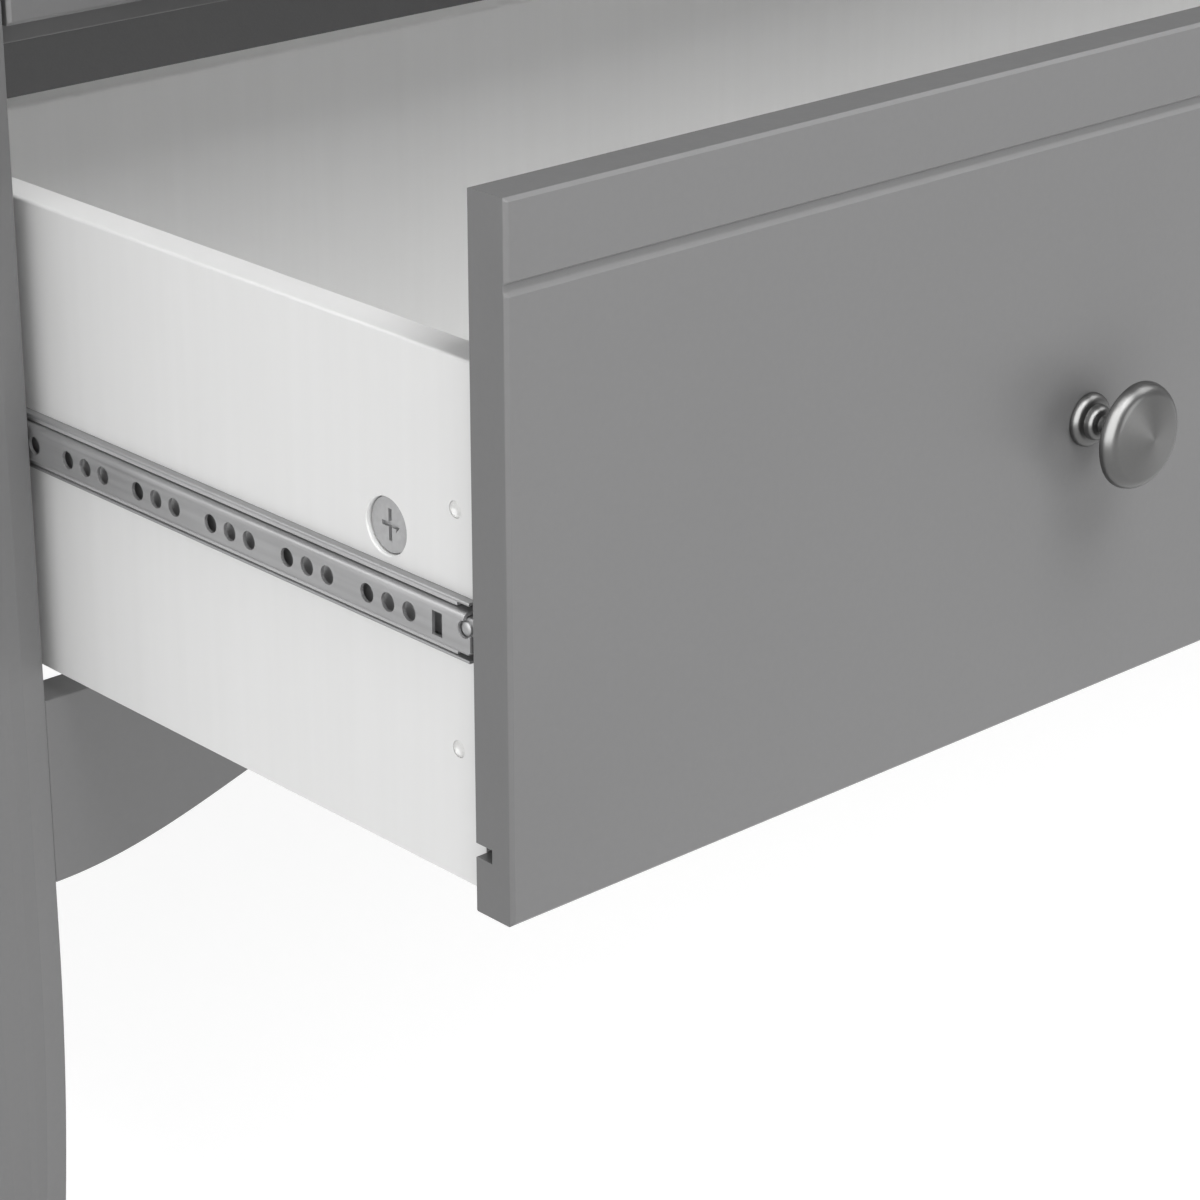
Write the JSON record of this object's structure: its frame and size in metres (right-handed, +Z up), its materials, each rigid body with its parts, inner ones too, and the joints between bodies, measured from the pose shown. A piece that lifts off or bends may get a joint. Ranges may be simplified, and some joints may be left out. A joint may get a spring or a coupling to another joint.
{
  "type": "changing table",
  "caption": "Nursery changing table: drawer chest on tapered legs with telescopic ball runners, mushroom knobs and a railed changing tray with a pad on top.",
  "frame": {"origin": "on the floor, under the centre of the bounding box of the object with its lower drawer drawn out 225 mm", "axes": "+Z up from the floor, -Y the way the drawers open, +X to the right of a person who faces the drawer fronts"},
  "size_m": [0.904, 0.6862, 0.9505],
  "materials": {
    "painted_grey": "satin grey paint on board",
    "white_laminate": "smooth white laminate on board",
    "satin_nickel": "satin nickel",
    "zinc_steel": "bright zinc plated",
    "cast_zinc": "die-cast, matt",
    "pad_cover": "soft white woven cover"
  },
  "bodies": {
    "cabinet": {"front_left_leg": "painted_grey", "front_right_leg": "painted_grey", "rear_left_leg": "painted_grey", "rear_right_leg": "painted_grey", "front_apron": "painted_grey", "lower_front_rail": "painted_grey", "upper_front_rail": "painted_grey", "top_front_rail": "painted_grey", "left_side_panel": "painted_grey", "right_side_panel": "painted_grey", "back_panel": "painted_grey", "rear_lower_rail": "painted_grey", "rear_upper_rail": "painted_grey", "top_panel": "painted_grey", "tray_front_rail": "painted_grey", "tray_rear_rail": "painted_grey", "tray_left_rail": "painted_grey", "tray_right_rail": "painted_grey", "changing_pad": "pad_cover", "lower_left_cabinet_channel": "zinc_steel", "lower_right_cabinet_channel": "zinc_steel", "middle_left_cabinet_channel": "zinc_steel", "middle_right_cabinet_channel": "zinc_steel", "upper_left_cabinet_channel": "zinc_steel", "upper_right_cabinet_channel": "zinc_steel"},
    "lower_sliders": {"lower_left_slider": "zinc_steel", "lower_right_slider": "zinc_steel"},
    "lower_drawer": {"lower_drawer_front": "painted_grey", "lower_drawer_back": "white_laminate", "lower_drawer_base": "white_laminate", "lower_drawer_left_side": "white_laminate", "lower_drawer_right_side": "white_laminate", "lower_left_knob": "satin_nickel", "lower_left_drawer_channel": "zinc_steel", "lower_left_cam_lock": "cast_zinc", "lower_right_knob": "satin_nickel", "lower_right_drawer_channel": "zinc_steel", "lower_right_cam_lock": "cast_zinc"},
    "middle_sliders": {"middle_left_slider": "zinc_steel", "middle_right_slider": "zinc_steel"},
    "middle_drawer": {"middle_drawer_front": "painted_grey", "middle_drawer_back": "white_laminate", "middle_drawer_base": "white_laminate", "middle_drawer_left_side": "white_laminate", "middle_drawer_right_side": "white_laminate", "middle_left_knob": "satin_nickel", "middle_left_drawer_channel": "zinc_steel", "middle_right_knob": "satin_nickel", "middle_right_drawer_channel": "zinc_steel"},
    "upper_sliders": {"upper_left_slider": "zinc_steel", "upper_right_slider": "zinc_steel"},
    "upper_drawer": {"upper_drawer_front": "painted_grey", "upper_drawer_back": "white_laminate", "upper_drawer_base": "white_laminate", "upper_drawer_left_side": "white_laminate", "upper_drawer_right_side": "white_laminate", "upper_left_knob": "satin_nickel", "upper_left_drawer_channel": "zinc_steel", "upper_right_knob": "satin_nickel", "upper_right_drawer_channel": "zinc_steel"}
  },
  "joints": [
    {"name": "lower_slider_travel", "type": "slide", "parent": "cabinet", "child": "lower_sliders", "axis": [0, -1, 0], "range_m": [-0.225, 0]},
    {"name": "lower_drawer_travel", "type": "slide", "parent": "lower_sliders", "child": "lower_drawer", "axis": [0, -1, 0], "range_m": [0, 0.075]},
    {"name": "middle_slider_travel", "type": "slide", "parent": "cabinet", "child": "middle_sliders", "axis": [0, -1, 0], "range_m": [0, 0.225]},
    {"name": "middle_drawer_travel", "type": "slide", "parent": "middle_sliders", "child": "middle_drawer", "axis": [0, -1, 0], "range_m": [0, 0.075]},
    {"name": "upper_slider_travel", "type": "slide", "parent": "cabinet", "child": "upper_sliders", "axis": [0, -1, 0], "range_m": [0, 0.225]},
    {"name": "upper_drawer_travel", "type": "slide", "parent": "upper_sliders", "child": "upper_drawer", "axis": [0, -1, 0], "range_m": [0, 0.075]}
  ]
}
